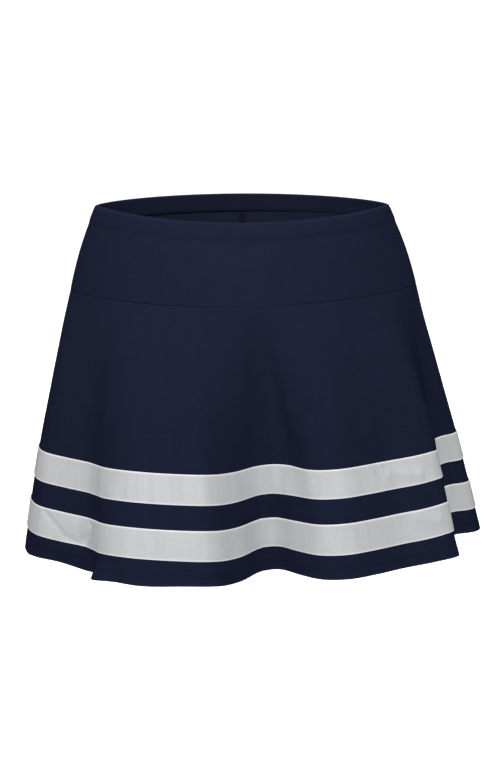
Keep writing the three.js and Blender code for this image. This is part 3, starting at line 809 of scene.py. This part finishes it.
# flounce panels with a turned-up hem
def flounce_section():
    seams = [v for pair in STRIPES.values() for v in pair]
    outer = rows_between(0.3, LENGTH - 0.4, 3.4,
                         (1.5, *seams, LENGTH - HEM_STITCH, LENGTH - 1.5), 0.6, 3.0)
    inner = rows_between(0.3, LENGTH - HEM_TURN - 0.5, 5.0)
    section = [(0.0, s) for s in outer]
    for a in np.linspace(0.2, math.pi - 0.2, 5):
        section.append((CLOTH * (math.cos(a) - 1), LENGTH + CLOTH * (math.sin(a) - 1)))
    section += [(-2 * CLOTH, s) for s in np.linspace(LENGTH - 1.5, LENGTH - HEM_TURN, 8)]
    section += [(-CLOTH, s) for s in inner[::-1]]
    section.append((-CLOTH / 2, 0.0))
    return section


def flounce_sheet(name, node, f, section, material, lightening):
    points, cloth, edge = [], [], []
    for offset, s in section:
        points.append(flounce_at(f, s, offset))
        x = (f - 0.5) * HEM_ROUND
        cloth.append(np.stack([x, np.full_like(x, s), np.full_like(x, offset * 40)], 1))
        edge.append(np.full_like(x, lightening(s)))
    obj = skin(name, np.array(points), cloth=np.array(cloth), edge=np.array(edge))
    return dress(obj, material, [node], "skirt")


PANELS = {
    "front": np.linspace(0.25, 0.75, 340),
    "back": np.linspace(0.75, 1.25, 340),
}
for face, f in PANELS.items():
    # Lighter along the folded hem, and painted light: the navy cloth made lighter towards the top,
    # fading out by 170 mm down.
    panel = flounce_sheet(f"skirt_{face}_cloth", f"skirt_{face}", f, flounce_section(), NAVY,
                          lambda s: 0.3 * gauss(s - LENGTH, 1.2)
                          + 0.16 * (1 - smooth(s / 170)))

for level, (top, bottom) in STRIPES.items():
    stitch_lines = (top + STRIPE_STITCH, bottom - STRIPE_STITCH)
    rows = rows_between(top + 0.25, bottom - 0.25, 2.2, stitch_lines, 0.5, 1.6)
    section = [(STRIPE_OUT - 0.35 * math.exp(-min(s - top, bottom - s) / 0.6), s) for s in rows]
    section.append((0.55, bottom))
    section += [(0.3, s) for s in rows[::-4]]
    section.append((0.55, top))
    for face, f in PANELS.items():
        # Painted highlight: a bright line along the top and bottom edge of each stripe.
        stripe = flounce_sheet(
            f"{level}_stripe_{face}_cloth", f"{level}_stripe_{face}", f, section, WHITE,
            lambda s: gauss(s - top, 1.4) + gauss(s - bottom, 1.4))


def stitch_rows(name, lines, pitch, length, radius, offset, material, nodes):
    """Rows of topstitching round the flounce, one at each distance down in lines."""
    parts = []
    for s in lines:
        local = SEAM_ROUND + (HEM_ROUND - SEAM_ROUND) * s / LENGTH
        count = int(local / pitch)
        f = (np.arange(count) + 0.5) / count
        here = flounce_at(f, s, offset)
        ahead = flounce_at(f + 0.0008, s, offset)
        behind = flounce_at(f - 0.0008, s, offset)
        parts.append((here, ahead - behind, normals(flounce, f, s, 0.0012, 1.5)))
    centre, along, normal = (np.concatenate([p[i] for p in parts]) for i in range(3))
    obj = stitches(name, centre, along, normal, length, radius)
    return dress(obj, material, nodes, "skirt")


stitch_rows("hem_coverstitch", (LENGTH - HEM_STITCH - 1.6, LENGTH - HEM_STITCH + 1.6), 3.4, 2.5,
            0.20, -0.1, HEM_THREAD, ["hem_thread"])
for level, (top, bottom) in STRIPES.items():
    stitch_rows(f"{level}_stripe_stitching", (top + STRIPE_STITCH, bottom - STRIPE_STITCH), 3.0,
                2.2, 0.16, STRIPE_OUT, WHITE_THREAD, [])


def flounce_side_seam(name, node, f0):
    s = np.arange(4, LENGTH - 18, 0.8)
    f = np.full_like(s, f0)
    path = flounce_at(f, s, -CLOTH - 0.45)
    side = flounce_at(f + 0.001, s, -CLOTH - 0.45) - flounce_at(f - 0.001, s, -CLOTH - 0.45)
    overlock(name, node, path, side, -normals(flounce, f, s, 0.0012, 1.5), 3.4, 1.0, body="skirt")


flounce_side_seam("skirt_side_seam_right_threads", "skirt_side_seam_right", 0.25)
flounce_side_seam("skirt_side_seam_left_threads", "skirt_side_seam_left", 0.75)


def drag(left, front, w, drop):
    """Light drag lines that run out from the top of the centre back seam."""
    x = (1 - w) * 150
    d = drop - SHORTS_TOP
    lines = 0.0
    for slope, reach in ((0.32, 16), (0.62, 30), (1.1, 48)):
        lines = lines + 2.0 * gauss(d - 4 - x * slope, 2.6) * smooth((reach + 30 - x) / 40)
    slow = 0.4 * np.sin(x / 24 + d / 31) * np.sin(d / 47 + 0.5)
    lines = lines * smooth((x - 4) / 14)
    return (lines if front < 0 else 0.4 * lines) * smooth(d / 5) + slow * smooth(d / 20)


def shorts_panel(name, node, left, front):
    w = np.linspace(0.0005, 0.9995, 110)
    outer = rows_between(SHORTS_TOP, SHORTS_LENGTH - 0.4, 3.0, (SHORTS_LENGTH - 12,), 0.8, 3.0)
    inner = rows_between(SHORTS_TOP, SHORTS_LENGTH - 15.5, 4.0)
    section = [(0.0, d) for d in outer]
    section += [(0.9 - 0.9 * math.cos(a), SHORTS_LENGTH - 0.9 + 0.9 * math.sin(a))
                for a in np.linspace(0.2, math.pi - 0.2, 5)]
    section += [(1.8, d) for d in np.linspace(SHORTS_LENGTH - 1.5, SHORTS_LENGTH - 15, 6)]
    section += [(CLOTH, d) for d in inner[::-1]]
    points, cloth, lightening = [], [], []
    for inset, d in section:
        dent = drag(left, front, w, np.full_like(w, d))
        groove = 0.35 * gauss(d - (SHORTS_LENGTH - 12), 1.2)
        points.append(shorts_at(left, front, w, d, inset + dent + groove))
        cloth.append(np.stack([w * 215, np.full_like(w, d), np.full_like(w, inset * 40)], 1))
        lightening.append(np.full_like(w, 0.3 * gauss(d - SHORTS_LENGTH, 1.2)))
    obj = skin(name, np.array(points), cloth=np.array(cloth), edge=np.array(lightening))
    dress(obj, LINING, [node], "waist")


for side_name, left in (("left", 1), ("right", -1)):
    for face, front in (("front", 1), ("back", -1)):
        node = f"shorts_{face}_{side_name}"
        shorts_panel(f"{node}_cloth", node, left, front)


def shorts_centre_seam(face, front):
    d = np.arange(SHORTS_TOP + 1, 168, 0.8)
    at = shorts_at(1, front, np.full_like(d, 0.985), d, np.full_like(d, CLOTH + 0.35))
    dent = drag(1, front, np.full_like(d, 0.985), d)
    path = np.stack([0 * d, at[:, 1] + front * dent, at[:, 2]], 1)
    side = np.tile([1.0, 0, 0], (len(d), 1))
    normal = np.tile([0, float(front), 0], (len(d), 1))
    overlock(f"shorts_{face}_seam_threads", f"shorts_{face}_seam", path, side, normal, 3.0, 0.45,
             DARK_THREAD)


shorts_centre_seam("front", 1)
shorts_centre_seam("back", -1)


def shorts_side_seam(side_name, left):
    d = np.arange(SHORTS_TOP + 1, SHORTS_LENGTH - 22, 0.8)
    at = shorts_at(left, 1, np.full_like(d, 0.02), d, np.full_like(d, CLOTH + 0.4))
    dent = drag(left, 1, np.full_like(d, 0.0), d)
    path = np.stack([at[:, 0] - left * dent, 0 * d, at[:, 2]], 1)
    side = np.tile([0, 1.0, 0], (len(d), 1))
    normal = np.tile([-float(left), 0, 0], (len(d), 1))
    overlock(f"shorts_side_seam_{side_name}_threads", f"shorts_side_seam_{side_name}", path, side,
             normal, 3.0, 0.45, DARK_THREAD)


shorts_side_seam("left", 1)
shorts_side_seam("right", -1)


def leg_stitching(side_name, left):
    parts = []
    for drop in (SHORTS_LENGTH - 13.4, SHORTS_LENGTH - 10.6):
        for front in (1, -1):
            w = (np.arange(74) + 0.5) / 74
            d = np.full_like(w, drop)
            inset = drag(left, front, w, d) + 0.2
            here = shorts_at(left, front, w, d, inset)
            ahead = shorts_at(left, front, w + 0.002, d, inset)
            outward = shorts_at(left, front, w, d, inset - 1) - here
            parts.append((here, ahead - here, outward))
    centre, along, normal = (np.concatenate([p[i] for p in parts]) for i in range(3))
    obj = stitches(f"leg_hem_stitching_{side_name}", centre, along, normal, 2.4, 0.22)
    dress(obj, NAVY_THREAD, [f"leg_hem_thread_{side_name}"], "waist")


leg_stitching("left", 1)
leg_stitching("right", -1)


LABEL_HINGE = np.array([147.5, -5.0])
LABEL_TURN = math.radians(34)
LABEL_WIDTH = 30.0
LABEL_HEIGHT = 46.0
LABEL_TOP = 28.0


def care_label():
    """Blank ribbon label, slightly cupped, hinged on the side seam."""
    out = np.array([-math.sin(LABEL_TURN), -math.cos(LABEL_TURN)])
    flat = np.array([-out[1], out[0]])
    across = np.linspace(0, LABEL_WIDTH, 31)
    down = np.linspace(-LABEL_TOP, -LABEL_TOP - LABEL_HEIGHT, 47)
    x, z = np.meshgrid(across, down)
    cup = 0.9 * np.sin(x / LABEL_WIDTH * math.pi) * (0.7 + 0.3 * np.sin((z + LABEL_TOP) / 15)) - 0.9
    sheets = []
    for thick in (0.2, -0.2):
        plan = LABEL_HINGE + x[..., None] * out + (cup + thick)[..., None] * flat
        sheets.append(np.concatenate([plan, z[..., None]], -1))
    points = np.concatenate([sheets[0], sheets[1][:, ::-1]], axis=1)
    obj = skin("care_label_ribbon", points.transpose(1, 0, 2))
    dress(obj, LABEL, ["care_label"], "label")


care_label()


# ------------------------------------------------------------------ stage, light and camera
FLOOR_HALF = 40
FLOOR_LEVEL = -0.75


def floor():
    """Pale floor whose own glow reaches nothing else, so the garment isn't lit from below."""
    mesh = bpy.data.meshes.new("floor")
    corners = [(FLOOR_HALF * x, FLOOR_HALF * y, FLOOR_LEVEL)
               for x, y in ((-1, -1), (1, -1), (1, 1), (-1, 1))]
    mesh.from_pydata(corners, [], [(0, 1, 2, 3)])
    obj = bpy.data.objects.new("floor", mesh)
    bpy.context.scene.collection.objects.link(obj)
    n = Nodes("pale_floor")
    n.bsdf.inputs["Base Color"].default_value = (0.6, 0.6, 0.6, 1)
    n.bsdf.inputs["Roughness"].default_value = 0.9
    n.bsdf.inputs["Emission Color"].default_value = (1, 1, 1, 1)
    n.bsdf.inputs["Emission Strength"].default_value = 1.0
    mesh.materials.append(n.material)
    lit = bpy.data.collections.new("lit_by_floor")
    lit.objects.link(obj)
    obj.light_linking.receiver_collection = lit


floor()

world = bpy.data.worlds.new("studio")
world.use_nodes = True
world.node_tree.nodes["Background"].inputs[0].default_value = (1, 1, 1, 1)
world.node_tree.nodes["Background"].inputs[1].default_value = 0.25
bpy.context.scene.world = world


def area_light(name, place, target, size, power):
    data = bpy.data.lights.new(name, "AREA")
    data.shape = "RECTANGLE"
    data.size, data.size_y = size
    data.energy = power
    obj = bpy.data.objects.new(name, data)
    obj.location = place
    obj.rotation_mode = "QUATERNION"
    obj.rotation_quaternion = (Vector(target) - Vector(place)).to_track_quat("-Z", "Y")
    bpy.context.scene.collection.objects.link(obj)


MIDDLE = (0, 0, -0.2)
area_light("key", (0.35, -2.7, 1.4), MIDDLE, (0.9, 0.9), 60)
area_light("left", (-2.2, -1.6, 0.9), MIDDLE, (1.4, 1.4), 19)
area_light("top", (0.1, 0.0, 2.3), MIDDLE, (1.2, 1.2), 19)
area_light("back", (0.5, 2.6, 1.2), MIDDLE, (1.4, 1.4), 30)


CAMERA_ELEVATION = math.radians(12)
CAMERA_ROLL = math.radians(-1.0)
CAMERA_DISTANCE = 3.0
CAMERA_TARGET = Vector((0.0050, 0, -0.196))
SENSOR = 36
FOCAL_OVER_SENSOR = 2889 / 781


def camera():
    back = Vector((0, -math.cos(CAMERA_ELEVATION), math.sin(CAMERA_ELEVATION)))
    data = bpy.data.cameras.new("camera")
    data.sensor_width = SENSOR
    data.lens = FOCAL_OVER_SENSOR * SENSOR
    data.clip_start, data.clip_end = 0.1, 100
    obj = bpy.data.objects.new("camera", data)
    obj.rotation_mode = "QUATERNION"
    turn = Matrix.Rotation(CAMERA_ROLL, 3, "Z")
    look = (-back).to_track_quat("-Z", "Y").to_matrix()
    obj.rotation_quaternion = (look @ turn).to_quaternion()
    obj.location = CAMERA_TARGET + back * CAMERA_DISTANCE
    bpy.context.scene.collection.objects.link(obj)
    bpy.context.scene.camera = obj


camera()
bpy.context.scene.view_settings.view_transform = "Standard"
